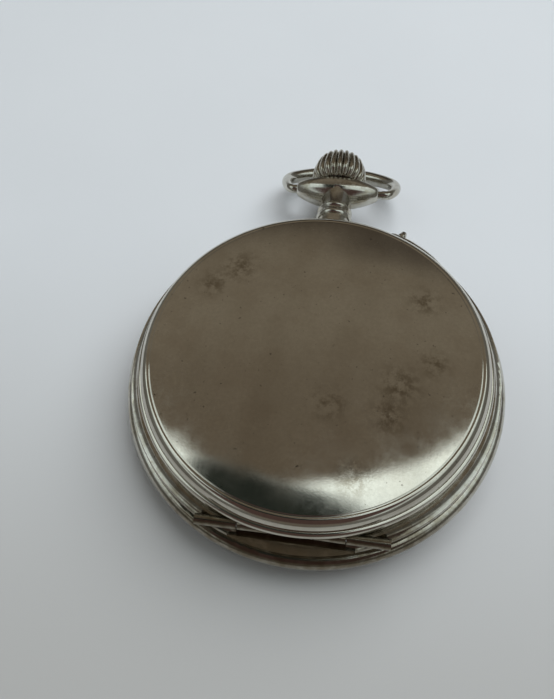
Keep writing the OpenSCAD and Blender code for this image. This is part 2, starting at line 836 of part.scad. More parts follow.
module balance_cock() {
  arm = norm(cock_foot_at - balance_at);
  color(nickel) difference() {
    union() {
      slab(8.5, 9.3) {
        translate(balance_at) circle(2.3);
        translate(balance_at) rotate(cock_angle)
          polygon([[0, -1.9], [arm, -2.6], [arm, 2.6], [0, 1.9]]);
        translate(cock_foot_at) circle(2.6);
      }
      slab(plate_z1, 8.5 + eps) intersection() {
        circle(plate_r - 0.5);
        difference() {
          translate(cock_foot_at) circle(2.6);
          translate(balance_at) circle(balance_r + 0.6);
        }
      }
    }
    at(balance_at) disc(pivot_hole_r, 8, 10);
    at(balance_at) disc(jewel_r, 8.9, 10);
    at(cock_foot_at) disc(0.42, 5, 10);
    at(stud_at) disc(0.3, 8, 10);
    difference() {
      disc(30, 8, 10);
      disc(plate_r - 0.3, 7, 11);
    }
  }
}
pallet_dir = heading(escape_at, balance_at);
module pallet_bridge() {
  color(nickel) at(pallet_at) rotate(pallet_dir) difference() {
    union() {
      slab(6.7, 6.98) square([1.4, 8.4], center = true);
      for (s = [-1, 1]) {
        translate([0, s * 3.6, 0]) disc(0.9, plate_z1, 6.98);
      }
    }
    disc(pivot_hole_r, 6, 8);
    for (s = [-1, 1])
      translate([0, s * 3.6, 0]) disc(0.22, 6, 8);
  }
}
module bridge_screws() {
  color(blued) {
    for (i = [0:len(bridge_screw_at) - 1])
      at(bridge_screw_at[i]) screw(0.9, top_z, 0.4, 0.38, 3.6, 25 + 47 * i);
    at(cock_foot_at) screw(1.0, 9.3, 0.4, 0.38, 3.9, 70);
    for (s = [-1, 1])
      at(pallet_at) rotate(pallet_dir) translate([0, s * 3.6, 0]) screw(0.5, 6.98, 0.12, 0.2, 0.3, 15);
  }
}
module jewel(z0, z1, r, bore) {
  difference() {
    disc(r, z0, z1);
    disc(bore, z0 - 1, z1 + 1);
  }
}
module jewels() {
  color(ruby) {
    for (p = [third_at, fourth_at, escape_at])
      at(p) jewel(8.5, top_z, jewel_r * 0.85, pivot_hole_r);
    for (p = [third_at, escape_at, pallet_at, balance_at])
      at(p) jewel(4.6, 5.0, jewel_r, pivot_hole_r);
    at(balance_at) jewel(8.9, 9.3, jewel_r, pivot_hole_r);
  }
}

// ---------- barrel and winding ----------
barrel_phase = heading(barrel_at, [0, 0]);
module mainspring_barrel() {
  color(gilt) at(barrel_at) difference() {
    union() {
      gear(m_barrel, barrel_n, 6.2, 6.8, barrel_phase);
      disc(7.1, 5.7, 7.6);
    }
    disc(6.75, 6.0, 8);
    disc(0.85, 5, 8);
  }
}
module barrel_cover() {
  color(gilt) at(barrel_at) difference() {
    disc(6.75, 7.35, 7.58);
    disc(0.85, 7, 8);
  }
}
module barrel_arbor() {
  color(steel) at(barrel_at) {
    disc(0.7, 4.9, 5.75);
    disc(0.8, 5.72, 8.5);
    disc(1.3, 6.02, 7.3);
    slab(8.45, winding_top) square(1.3, center = true);
  }
}
spring_turns = 9;
function spiral(turns, r0, r1, half_t, steps) =
  [for (i = [0:turns * steps]) polar(r0 + (r1 - r0) * i / (turns * steps) + half_t, i * 360 / steps)];
function spiral_strip(turns, r0, r1, t, steps) = concat(
  spiral(turns, r0, r1, t / 2, steps),
  [for (i = [turns * steps:-1:0]) spiral(turns, r0, r1, -t / 2, steps)[i]]);
module mainspring() {
  color(steel) at(barrel_at) slab(6.05, 7.25)
    polygon(spiral_strip(spring_turns, 1.6, 6.6, 0.16, 20));
}
module ratchet_wheel() {
  ratchet_phase = heading(barrel_at, crown_wheel_at) + 180 / ratchet_n;
  color(steel) at(barrel_at) difference() {
    gear(m_wind, ratchet_n, winding_low, winding_top, ratchet_phase);
    slab(8, 9.5) square(1.32, center = true);
  }
}
module ratchet_screw() {
  color(blued) at(barrel_at) screw(1.5, winding_top + 0.01, 0.35, 0.3, 0.005, 40);
}
module crown_wheel() {
  spur_phase = heading(crown_wheel_at, barrel_at);
  pitch = 360 / crown_wheel_n;
  web_r = 4.05;
  // The teeth underneath are set so that a gap faces the winding pinion
  color(steel) at(crown_wheel_at) difference() {
    union() {
      gear(m_wind, crown_wheel_n, winding_low - 0.08, winding_top, spur_phase);
      disc(3.3, 8.36, winding_low - 0.07);
      disc(web_r, 8.64, winding_low - 0.06);
      slab(8.36, 8.66) for (i = [0:crown_wheel_n - 1])
        rotate(90 + (i + 0.5) * pitch) translate([3.2, -0.13]) square([web_r - 3.22, 0.26]);
    }
    disc(0.95, 8, 9.5);
  }
}
module crown_wheel_core() {
  color(steel) at(crown_wheel_at) {
    disc(0.92, 8.3, winding_top + 0.02);
    screw(1.5, winding_top + 0.02, 0.33, 0.48, 1.4, 120);
  }
}
click_at = polar(13.6, 10);
click_dir = heading(click_at, barrel_at);
ratchet_tip_r = m_wind * ratchet_n / 2 + 0.8 * m_wind;
// Pocket for the click and its spring, and the hole of the click's screw
module click_pocket() {
  at(click_at) slab(8.75, 10) {
    circle(4.1);
    rotate(click_dir) translate([2, -1.3]) square([4, 2.6]);
  }
}
module click() {
  // The beak stops just short of the ratchet's teeth
  reach = norm(barrel_at - click_at) - ratchet_tip_r - 0.08;
  color(steel) at(click_at) rotate(click_dir) difference() {
    union() {
      disc(1.1, 8.78, 9.12);
      slab(8.8, 9.1) polygon([[-0.2, 0.95], [reach, 0.35], [reach, -0.25], [-0.2, -0.95]]);
    }
    disc(0.45, 8, 10);
  }
}
module click_screw() {
  color(blued) at(click_at) {
    disc(0.38, 8.3, 9.13);
    screw(0.95, 9.13, 0.3, 0.3, 0.5, 10);
  }
}
module click_spring() {
  color(steel) at(click_at) rotate(click_dir) slab(8.76, 9.0)
    polygon([[-2.9, 2.6], [-1.9, 2.75], [0.4, 2.0], [2.2, 1.2], [2.1, 1.0],
      [0.2, 1.65], [-1.8, 1.9], [-3.3, 1.7]]);
}

// ---------- going train ----------
module center_wheel() {
  color(gilt) difference() {
    gear(m_center, center_n, 5.3, 5.5, heading([0, 0], third_at));
    arm_gaps(1.5, 4.9, 5, 0.6, 5.3, 5.5);
    disc(0.4, 5, 6);
  }
}
module center_pinion() {
  color(steel) {
    disc(0.3, minute_hand_z, 4.8);
    disc(0.4, 4.75, 5.55);
    gear(m_barrel, pinion_n, 5.55, 7.2, heading([0, 0], barrel_at) + 180 / pinion_n);
    disc(0.6, 7.15, 7.7);
    disc(0.35, 7.6, 8.95);
  }
}
module third_wheel() {
  color(gilt) at(third_at)
    arbored_wheel(m_third, third_n, 6.7, heading(third_at, fourth_at), m_center, pinion_n,
      5.27, 6.5, heading(third_at, [0, 0]) + 180 / pinion_n, 4.5, 8.9);
}
module fourth_wheel() {
  color(gilt) at(fourth_at) {
    arbored_wheel(m_fourth, fourth_n, 7.2, heading(fourth_at, escape_at), m_third, pinion_n,
      6.55, 7.1, heading(fourth_at, third_at) + 180 / pinion_n, seconds_hand_z, 8.9);
  }
}
// One pointed, leaning tooth of the escape wheel
function escape_tooth(i) =
  let (a = i * 360 / escape_n)
  [polar(2.75, a - 5), polar(3.5, a + 1), polar(escape_r, a + 3), polar(3.56, a + 5),
   polar(2.95, a + 6.5), polar(2.75, a + 9)];
module escape_wheel() {
  color(steel) at(escape_at) {
    difference() {
      slab(6.4, 6.6) polygon([for (i = [0:escape_n - 1]) each escape_tooth(i)]);
      arm_gaps(0.9, 2.3, 4, 0.4, 6.4, 6.6);
    }
    gear(m_fourth, escape_pinion_n, 7.0, 7.55, heading(escape_at, fourth_at) + 180 / escape_pinion_n);
    disc(0.33, 6.35, 7.6);
    disc(pivot_r, 4.65, 8.9);
  }
}
stone_r = 3.86;
// The two stones' outlines, with some room round them for the fork's slots
module stone_outlines(gap) {
  for (s = [-1, 1])
    rotate(s * 34) translate([stone_r - gap, -0.2 - gap]) square([0.62 + 2 * gap, 0.4 + 2 * gap]);
}
module pallet_lever() {
  rotate(pallet_dir) {
    slab(6.4, 6.6) polygon([[0.3, -0.3], [2.6, -0.16], [2.75, -0.45], [3.05, -0.45], [3.0, -0.14],
      [2.85, 0], [3.0, 0.14], [3.05, 0.45], [2.75, 0.45], [2.6, 0.16], [0.3, 0.3]]);
    slab(6.41, 6.59) polygon([[0.5, -0.4], [-0.5, -2.75], [-0.95, -2.5], [-0.3, 0],
      [-0.95, 2.5], [-0.5, 2.75], [0.5, 0.4]]);
    disc(0.55, 6.38, 6.62);
  }
}
module pallet_fork() {
  color(steel) difference() {
    at(pallet_at) {
      pallet_lever();
      disc(0.25, 6.35, 6.66);
      disc(pivot_r, 4.65, 6.95);
    }
    at(escape_at) rotate(pallet_dir) slab(6.46, 6.8) stone_outlines(0.01);
  }
}
module pallet_stones() {
  color(ruby) at(escape_at) rotate(pallet_dir) slab(6.47, 6.7) stone_outlines(0);
}
module balance_wheel() {
  color(gilt) at(balance_at) difference() {
    slab(7.2, 7.85) difference() {
      circle(balance_r - 0.35);
      circle(balance_r - 1.05);
    }
    for (i = [0:11]) rotate(i * 30 + 15) translate([balance_r - 0.9, 0, 7.52])
      rotate([0, 90, 0]) cylinder(r = 0.2, h = 2);
  }
  color(gilt) at(balance_at) slab(7.3, 7.5) difference() {
    union() {
      circle(1.1);
      square([2 * balance_r - 1.4, 0.9], center = true);
    }
    circle(0.4);
  }
}
module timing_screws() {
  color(gilt) at(balance_at) for (i = [0:11]) rotate(i * 30 + 15)
    translate([balance_r - 0.9, 0, 7.52]) rotate([0, 90, 0]) {
      cylinder(r = 0.2, h = 0.6);
      translate([0, 0, 0.56]) cylinder(r = 0.3, h = 0.34);
    }
}
module balance_staff() {
  color(steel) at(balance_at) {
    disc(0.4, 6.7, 8.3);
    disc(1.25, 6.75, 7.0);
    disc(0.66, 7.95, 8.2);
    disc(pivot_r, 4.65, 9.25);
    translate([-0.9 * cos(pallet_dir), -0.9 * sin(pallet_dir), 0]) disc(0.14, 6.4, 6.8);
  }
}
stud_angle = cock_angle + 18;
stud_at = balance_at + polar(4.45, stud_angle);
hair_turns = 11;
module hairspring() {
  color(blued) at(balance_at) rotate(stud_angle) slab(8.0, 8.14)
    polygon(spiral_strip(hair_turns, 0.75, 4.4, 0.07, 20));
}
module hairspring_stud() {
  color(steel) at(stud_at) disc(0.28, 7.9, 9.5);
}
regulator_angle = cock_angle + 180;
module regulator() {
  color(steel) at(balance_at) rotate(regulator_angle) {
    slab(9.34, 9.56) difference() {
      union() {
        circle(1.7);
        polygon([[1.0, 0.5], [6.4, 0.12], [6.4, -0.12], [1.0, -0.5]]);
        polygon([[3.6, 0.5], [4.6, 0.5], [4.6, -0.5], [3.6, -0.5]]);
      }
      circle(1.15);
    }
    for (r = [4.06, 4.38]) translate([r, 0, 0]) disc(0.06, 7.95, 9.4);
  }
}
module endstone() {
  color(ruby) at(balance_at) disc(1.1, 9.3, 9.62);
}

case_band();
front_bezel();
crystal();
back_cover();
dust_cover();
hinge_pin();
pendant();
pendant_pin();
bow();
crown();
winding_stem();
set_pusher();
pusher_guard();
case_screws();
dial();
dial_screws();
hour_hand();
minute_hand();
seconds_hand();
cannon_pinion();
minute_wheel();
hour_wheel();
setting_wheel();
setting_yoke();
yoke_spring();
sliding_pinion();
winding_pinion();
main_plate();
barrel_bridge();
train_bridge();
balance_cock();
pallet_bridge();
bridge_screws();
jewels();
mainspring_barrel();
barrel_cover();
barrel_arbor();
mainspring();
ratchet_wheel();
ratchet_screw();
crown_wheel();
crown_wheel_core();
click();
click_screw();
click_spring();
center_wheel();
center_pinion();
third_wheel();
fourth_wheel();
escape_wheel();
pallet_fork();
pallet_stones();
balance_wheel();
timing_screws();
balance_staff();
hairspring();
hairspring_stud();
regulator();
endstone();
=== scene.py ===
"""Looks of the open-face pocket watch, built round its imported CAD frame.

The watch lies on its glass with the back up. Shapes are written in millimetres, in the CAD
frame (+Z out of the back, +Y towards the crown), and turned into metres when a mesh is made.
"""

import json
import math

import bmesh
import bpy
from mathutils import Matrix, Vector


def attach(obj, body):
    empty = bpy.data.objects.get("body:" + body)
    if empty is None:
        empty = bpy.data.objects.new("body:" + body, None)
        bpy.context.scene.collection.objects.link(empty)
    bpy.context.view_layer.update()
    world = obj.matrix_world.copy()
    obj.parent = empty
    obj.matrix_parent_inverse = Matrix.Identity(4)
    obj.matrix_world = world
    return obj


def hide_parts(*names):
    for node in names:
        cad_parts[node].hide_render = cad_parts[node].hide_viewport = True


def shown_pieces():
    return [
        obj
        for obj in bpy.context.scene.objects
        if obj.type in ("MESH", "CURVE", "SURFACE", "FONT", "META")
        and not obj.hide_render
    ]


MM = 0.001

# Case
CASE_H = 13.8
GROOVE_R = 21.2
GROOVE_Z = 12.25
SHOULDER_R = 1.35
COVER_T = 0.5
RIM_R = 23.0
RIM_Z = 9.95
RIM_BEAD_R = 0.62
CATCH_ANGLE = math.radians(12)
CATCH_CENTRE_R = RIM_R + 1.25
CATCH_CUT_R = 1.7
HINGE_Y = -22.1
HINGE_Z = 9.0
KNUCKLE_R = 0.65
KNUCKLE_BEVEL = 0.08
COVER_KNUCKLE_X = (2.6, 6.3)

# Pendant, crown and bow
PENDANT_Z = 6.3
STEM_HOLE_R = 1.05
NECK_Y0 = 25.4
NECK_R = 2.45
PIN_BACK = 1.3
DIMPLE_R = 0.34
DIMPLE_DEPTH = 0.3
BOW_Y = 32.3
CROSS_HALF = 6.4
CROSS_R = 2.75
CROSS_END_R = 1.0
CROSS_FLAT_Y = 33.0
CROWN_Y0 = 33.1
CROWN_Y1 = 38.6
CROWN_R = 4.3
CROWN_BASE_R = 1.7
CROWN_RIM = (3.6, 4.8)
CROWN_EDGE_R = 0.5
CROWN_EDGE_TURN = 75
FLUTE_DEPTH = 0.5
FLUTES = 24
BOW_CORNER_X = 7.1
BOW_CORNER_R = 0.95
BOW_CORNER_TURN = 62
BOW_SIDE_R = 7.8
BOW_FAR_R = 3.5
BOW_REACH = 10.0
BOW_SLIDE = 0.3
BOW_WIRE_R = 1.1
BOW_THIN_R = 0.7
BOW_PIN_R = 0.6
BOW_DROOP = math.radians(30.5)

# Guard beside the set pusher
GUARD_C = (7.6 * math.cos(math.radians(70)), 7.6 * math.sin(math.radians(70)))
GUARD_BEND = 17.45
GUARD_Z = 7.1
GUARD_R = 0.8
GUARD_FROM = 25
GUARD_SWEEP = 46

# Dial, which faces down while the watch lies on its glass
DIAL_FACE_Z = 3.1
SUBDIAL_FACE_Z = 3.3
SUBDIAL_Y = -9.2
PRINT_LIFT = 0.012
TRACK_R = (18.05, 18.95)
SUBTRACK_R = (3.75, 4.2)
HOUR_R = 15.2
HOUR_SIZE = 5.0
SIX_R = 15.75
SIX_SIZE = 3.6
SECOND_R = 2.85
SECOND_SIZE = 1.15

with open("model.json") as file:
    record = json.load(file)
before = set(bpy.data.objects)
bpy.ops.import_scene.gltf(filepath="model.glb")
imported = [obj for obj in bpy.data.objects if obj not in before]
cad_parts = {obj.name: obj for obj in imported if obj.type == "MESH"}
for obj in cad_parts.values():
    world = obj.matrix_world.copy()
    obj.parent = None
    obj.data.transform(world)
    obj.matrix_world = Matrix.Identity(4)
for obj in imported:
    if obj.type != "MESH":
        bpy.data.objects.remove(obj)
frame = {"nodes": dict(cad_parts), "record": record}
bpy.context.view_layer.update()
nodes = frame["nodes"]


# ---------- mesh helpers ----------
def arc(cu, cv, radius, start, end, steps):
    """Points on a circle arc, angles in degrees."""
    points = []
    for i in range(steps + 1):
        a = math.radians(start + (end - start) * i / steps)
        points.append((cu + radius * math.cos(a), cv + radius * math.sin(a)))
    return points


def make_piece(name, verts, faces, body, replaced=(), sharp=38):
    """A smooth-shaded mesh piece from millimetre points, riding on a CAD body."""
    mesh = bpy.data.meshes.new(name)
    mesh.from_pydata([(x * MM, y * MM, z * MM) for x, y, z in verts], [], faces)
    bm = bmesh.new()
    bm.from_mesh(mesh)
    bmesh.ops.remove_doubles(bm, verts=bm.verts, dist=1e-7)
    bmesh.ops.recalc_face_normals(bm, faces=bm.faces)
    bm.to_mesh(mesh)
    bm.free()
    mesh.shade_smooth()
    mesh.set_sharp_from_angle(angle=math.radians(sharp))
    piece = bpy.data.objects.new(name, mesh)
    bpy.context.scene.collection.objects.link(piece)
    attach(piece, body)
    if replaced:
        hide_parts(*replaced)
    return piece


def about_z(r, h, a):
    return (r * math.cos(a), r * math.sin(a), h)


def about_pendant(r, h, a):
    return (r * math.cos(a), h, PENDANT_Z + r * math.sin(a))


def revolve(profile, steps, place, closed=True, reshape=None, span=None):
    """Turns a (radius, height) profile about an axis; place maps (r, h, angle) to a point."""
    turns = steps if span is None else steps + 1
    start, sweep = (0.0, 2 * math.pi) if span is None else span
    verts, faces = [], []
    for k in range(turns):
        a = start + sweep * k / steps
        for r, h in profile:
            point = place(r, h, a)
            verts.append(reshape(point) if reshape else point)
    count = len(profile)
    last = count if closed else count - 1
    for k in range(steps):
        k2 = (k + 1) % turns
        for i in range(last):
            j = (i + 1) % count
            faces.append((k * count + i, k * count + j, k2 * count + j, k2 * count + i))
    if span is not None and closed:
        faces.append(tuple(range(count)))
        faces.append(tuple(steps * count + i for i in range(count)))
    return verts, faces


def joined(shapes):
    """Several (verts, faces) pairs as one."""
    verts, faces = [], []
    for shape_verts, shape_faces in shapes:
        faces += [tuple(i + len(verts) for i in f) for f in shape_faces]
        verts += shape_verts
    return verts, faces


def sweep_tube(path, radii, sides, squash=1.0):
    """A closed tube along a path of points, with one radius per point."""
    verts, faces = [], []
    up = Vector((0, 0, 1))
    for i, p in enumerate(path):
        ahead = path[min(i + 1, len(path) - 1)] - path[max(i - 1, 0)]
        side = ahead.cross(up).normalized()
        lift = side.cross(ahead).normalized()
        for k in range(sides):
            a = 2 * math.pi * k / sides
            q = p + side * (radii[i] * math.cos(a)) + lift * (radii[i] * squash * math.sin(a))
            verts.append(tuple(q))
    for i in range(len(path) - 1):
        for k in range(sides):
            k2 = (k + 1) % sides
            faces.append((i * sides + k, i * sides + k2, (i + 1) * sides + k2, (i + 1) * sides + k))
    faces.append(tuple(range(sides)))
    faces.append(tuple((len(path) - 1) * sides + k for k in range(sides)))
    return verts, faces


# ---------- back cover ----------
DOME_RISE = CASE_H - GROOVE_Z
DOME_BALL = (GROOVE_R**2 + DOME_RISE**2) / (2 * DOME_RISE)

# Dents and pushes in the thin back: x, y, radius and depth in millimetres
DENTS = [
    (2.4, -6.6, 1.9, 0.055),
    (8.4, -4.6, 2.4, 0.02),
    (11.6, -3.2, 2.8, 0.015),
    (-3.0, 2.0, 6.0, 0.02),
    (5.5, -11.5, 2.6, 0.03),
    (-9.5, -8.5, 4.0, 0.02),
    (-12.5, 7.5, 3.0, 0.02),
    (9.0, 7.5, 5.0, 0.03),
    (-1.5, -13.5, 3.6, 0.03),
]


def dome_z(r):
    return CASE_H - DOME_BALL + math.sqrt(DOME_BALL**2 - r * r)


def dent_drop(x, y):
    drop = 0.0
    for dx, dy, radius, depth in DENTS:
        away = ((x - dx) ** 2 + (y - dy) ** 2) / radius**2
        if away < 9:
            drop += depth * math.exp(-away)
    return drop


def back_profile():
    dome = [(r, dome_z(r)) for r in (GROOVE_R * (i / 60) ** 0.8 for i in range(60))]
    line = [(20.98, dome_z(20.98)), (21.1, 12.2), (21.22, 12.23)]
    shoulder = arc(GROOVE_R - 0.15, GROOVE_Z - SHOULDER_R, SHOULDER_R, 74, -10, 16)
    neck = [(22.38, 10.55), (22.44, 10.45)]
    bead = arc(RIM_R - RIM_BEAD_R, RIM_Z, RIM_BEAD_R, 50, -86, 14)
    inner = [(22.14, 9.34), (22.12, 9.92), (21.8, 10.6), (21.3, 11.4), (20.6, 11.95)]
    under = [(r, dome_z(r) - COVER_T) for r in (19, 16, 12, 8, 4)]
    return [p for p in dome if p[0] < 20.95] + line + shoulder + neck + bead + inner + under


def shape_back(point):
    """Adds the dents and the thumb catch to a point of the back cover."""
    x, y, z = point
    if z > 12.1:
        z -= dent_drop(x, y)
    catch_x = CATCH_CENTRE_R * math.cos(CATCH_ANGLE)
    catch_y = CATCH_CENTRE_R * math.sin(CATCH_ANGLE)
    away = math.hypot(x - catch_x, y - catch_y)
    if z < 10.9 and away < CATCH_CUT_R:
        r = math.hypot(x, y)
        off = math.atan2(y, x) - CATCH_ANGLE
        reach = CATCH_CENTRE_R * math.cos(off)
        inner = reach - math.sqrt(max(CATCH_CUT_R**2 - (CATCH_CENTRE_R * math.sin(off)) ** 2, 0))
        inner = max(inner, 22.3)
        if r > inner:
            x, y = x * inner / r, y * inner / r
    return (x, y, z)


def build_back():
    verts, faces = revolve(back_profile() + [(0, CASE_H - COVER_T)], 420, about_z,
                           closed=False, reshape=shape_back)
    return make_piece("back_shell", verts, faces, "back_cover",
                      replaced=["back_cover"], sharp=50)


def tube_along_x(x0, x1, radius, bevel):
    """A round bar along X on the hinge's axis, with rounded ends."""
    profile = [(0, x0)]
    rounding = []
    for i in range(6):
        r = radius - bevel * (1 - i / 5)
        rounding.append((r, bevel * math.sqrt(max(0, 1 - ((r - radius + bevel) / bevel) ** 2))))
    profile += [(r, x0 + bevel - reach) for r, reach in rounding]
    profile += [(r, x1 - bevel + reach) for r, reach in reversed(rounding)]
    profile.append((0, x1))

    def place(r, h, a):
        return (h, HINGE_Y + r * math.cos(a), HINGE_Z + r * math.sin(a))

    return revolve(profile, 40, place, closed=False)


def build_cover_knuckles():
    for side in (-1, 1):
        ends = sorted(side * x for x in COVER_KNUCKLE_X)
        verts, faces = tube_along_x(*ends, KNUCKLE_R, KNUCKLE_BEVEL)
        make_piece(f"back_knuckle_{'left' if side < 0 else 'right'}", verts, faces,
                   "back_cover")


# ---------- pendant, crown, bow ----------
def build_pendant():
    neck = [(STEM_HOLE_R, NECK_Y0), (2.4, 25.42), (NECK_R, 25.7)]
    neck += arc(2.15, 26.4, 0.65, -62, 62, 8)
    neck += [(2.42, 27.15), (2.42, 27.35)]
    neck += arc(2.25, 27.8, 0.45, -58, 58, 6)
    neck += [(2.42, 28.4), (NECK_R, 30.5), (NECK_R, BOW_Y), (STEM_HOLE_R, BOW_Y)]
    verts, faces = joined([revolve(neck, 96, about_pendant), pendant_foot(), cross_piece()])
    make_piece("pendant_body", verts, faces, "case", replaced=["pendant"])


def pendant_foot():
    """The upper half of the neck's foot, running down to the band behind the bezel."""
    rings, steps = 6, 96
    verts, faces = [], []
    for k in range(steps):
        a = 2 * math.pi * k / steps
        x, z = NECK_R * math.cos(a), PENDANT_Z + NECK_R * math.sin(a)
        wall = 25.56 if z < 6.15 else 23.9
        bead = (z - 7.65) / 0.75
        if abs(bead) < 1:
            wall = max(wall, 23.7 + 0.77 * math.sqrt(1 - bead * bead))
        y_wall = math.sqrt(wall * wall - x * x)
        for i in range(rings + 1):
            verts.append((x, y_wall + (25.75 - y_wall) * i / rings, z))
    for k in range(steps):
        k2 = (k + 1) % steps
        for i in range(rings):
            p, q = k * (rings + 1) + i, k2 * (rings + 1) + i
            faces.append((p, p + 1, q + 1, q))
    return verts, faces


def cross_piece():
    half, drop = CROSS_HALF, CROSS_R - CROSS_END_R
    bulge = (half * half + drop * drop) / (2 * drop)
    profile = [(0, -half)]
    profile += [(CROSS_END_R - 0.12, -half), (CROSS_END_R - 0.02, -half + 0.05)]
    for i in range(1, 48):
        h = -half + 2 * half * i / 48
        profile.append((CROSS_R - bulge + math.sqrt(bulge * bulge - h * h), h))
    profile += [(CROSS_END_R - 0.02, half - 0.05), (CROSS_END_R - 0.12, half), (0, half)]

    def place(r, h, a):
        return (h, BOW_Y + r * math.cos(a), PENDANT_Z + r * math.sin(a))

    def flatten(point):
        x, y, z = point
        dimple = math.hypot(x, y - BOW_Y + PIN_BACK) / DIMPLE_R
        if z > PENDANT_Z and dimple < 1:
            z -= DIMPLE_DEPTH * (1 - dimple * dimple)
        return (x, min(y, CROSS_FLAT_Y), z)

    return revolve(profile, 144, place, closed=False, reshape=flatten)


def crown_outline():
    """(radius, height) from the base recess over the leaning side and the rim to the apex."""
    lean = 2 * math.atan((CROWN_R - CROWN_RIM[0]) / (CROWN_RIM[1] - CROWN_BASE_R))
    side_r = (CROWN_RIM[1] - CROWN_BASE_R) / math.sin(lean)
    edge = (CROWN_RIM[0] - CROWN_EDGE_R * math.cos(lean),
            CROWN_RIM[1] - CROWN_EDGE_R * math.sin(lean))
    edge_cos = math.cos(math.radians(CROWN_EDGE_TURN))
    dome_r = (edge[0] + CROWN_EDGE_R * edge_cos) / edge_cos
    lean = math.degrees(lean)
    outline = [(1.6, 0.45), (2.45, 0.45), (2.7, 0.04)]
    outline += arc(CROWN_R - CROWN_BASE_R, CROWN_BASE_R, CROWN_BASE_R, -78, 0, 12)
    outline += arc(CROWN_R - side_r, CROWN_BASE_R, side_r, lean / 12, lean, 12)
    outline += arc(*edge, CROWN_EDGE_R, lean + 8, CROWN_EDGE_TURN, 6)
    outline += arc(0, CROWN_Y1 - CROWN_Y0 - dome_r, dome_r, 76, 89.7, 8)
    return outline


def build_crown():
    """The fluted crown: rounded ribs run from its base up the side and end at its rim."""
    outline = crown_outline()
    steps = FLUTES * 14
    verts, faces = [], []
    for k in range(steps):
        a = 2 * math.pi * k / steps
        groove = 1 - abs(math.cos(FLUTES * a / 2)) ** 0.45
        for r, h in outline:
            if h < CROWN_RIM[1]:
                depth = FLUTE_DEPTH * min(1.0, max(0.0, (r - 2.5) / 0.7)) ** 0.6
                drop = 0.0
            else:
                depth = FLUTE_DEPTH * min(1.0, max(0.0, (r - 2.2) / 1.2))
                drop = 0.55 * min(1.0, max(0.0, (r - 2.2) / 1.2))
            verts.append(about_pendant(r - depth * groove, CROWN_Y0 + h - drop * groove, a))
    count = len(outline)
    for k in range(steps):
        k2 = (k + 1) % steps
        for i in range(count - 1):
            faces.append((k * count + i, k * count + i + 1, k2 * count + i + 1, k2 * count + i))
    faces.append(tuple(k * count for k in range(steps)))
    faces.append(tuple(k * count + count - 1 for k in range(steps)))
    make_piece("crown_cap", verts, faces, "crown", replaced=["crown"], sharp=60)


def bow_path():
    """The bow's centre line from one pivot pin round to the other, before it droops."""
    turn = math.radians(BOW_CORNER_TURN)
    side_x = BOW_CORNER_X - (BOW_SIDE_R - BOW_CORNER_R) * math.sin(turn)
    side_y = BOW_CORNER_R + (BOW_SIDE_R - BOW_CORNER_R) * math.cos(turn)
    far_x = side_x + BOW_SIDE_R - BOW_FAR_R
    far_turn = 90 - 2 * math.degrees(math.atan((BOW_REACH - side_y - BOW_FAR_R) / far_x))
    end_r = BOW_FAR_R + far_x / math.cos(math.radians(far_turn))
    half = [(CROSS_HALF - 1.3, 0.0), (CROSS_HALF + 0.15, 0.0), (BOW_CORNER_X - 0.2, 0.0)]
    half += arc(BOW_CORNER_X, BOW_CORNER_R, BOW_CORNER_R, -90, BOW_CORNER_TURN - 90, 8)
    half += arc(side_x, side_y, BOW_SIDE_R, BOW_CORNER_TURN - 88, 0, 8)
    half += arc(far_x, side_y, BOW_FAR_R, 4, far_turn, 10)
    half += arc(0, BOW_REACH - end_r, end_r, far_turn + 2, 90, 24)
    growth = BOW_WIRE_R - BOW_THIN_R
    radii = [BOW_PIN_R, BOW_PIN_R]
    radii += [BOW_THIN_R + growth * min(1, y / 9) for x, y in half[2:]]
    points = half + [(-x, y) for x, y in reversed(half[:-1])]
    return points, radii + radii[-2::-1]


def build_bow():
    points, radii = bow_path()
    tilt = Matrix.Rotation(-BOW_DROOP, 3, "X")
    origin = Vector((BOW_SLIDE, BOW_Y, PENDANT_Z))
    path = [origin + tilt @ Vector((x, y, 0)) for x, y in points]
    verts, faces = sweep_tube(path, radii, 28)
    make_piece("bow_ring", verts, faces, "bow", replaced=["bow"], sharp=60)


def build_guard():
    """The bar beside the set pusher, which runs down into the case at its far end."""
    path, radii = [], []
    for i in range(41):
        a = math.radians(GUARD_FROM + GUARD_SWEEP * i / 40)
        path.append(Vector((GUARD_C[0] + GUARD_BEND * math.cos(a),
                            GUARD_C[1] + GUARD_BEND * math.sin(a), GUARD_Z)))
        end = max(0, i - 36) / 4
        radii.append(GUARD_R * math.sqrt(max(0.05, 1 - end * end)) * min(1, 0.55 + i / 40))
    verts, faces = sweep_tube(path, radii, 20)
    make_piece("guard_bar", verts, faces, "case", replaced=["pusher_guard"])


# ---------- dial print ----------
def ring_line(r, width, cx, cy, z, steps=180):
    """A thin printed circle that faces down."""
    verts, faces = [], []
    for k in range(steps):
        a = 2 * math.pi * k / steps
        for q in (r - width / 2, r + width / 2):
            verts.append((cx + q * math.cos(a), cy + q * math.sin(a), z))
    for k in range(steps):
        k2 = (k + 1) % steps
        faces.append((2 * k, 2 * k + 1, 2 * k2 + 1, 2 * k2))
    return verts, faces


def ticks(count, r0, r1, width, cx, cy, z):
    """Printed marks between two radii, each width broad."""
    verts, faces = [], []
    for k in range(count):
        a = 2 * math.pi * k / count
        out = (math.sin(a), math.cos(a))
        across = (math.cos(a) * width / 2, -math.sin(a) * width / 2)
        first = len(verts)
        for r, side in ((r0, -1), (r1, -1), (r1, 1), (r0, 1)):
            verts.append((cx + out[0] * r + side * across[0],
                          cy + out[1] * r + side * across[1], z))
        faces.append(tuple(range(first, first + 4)))
    return verts, faces


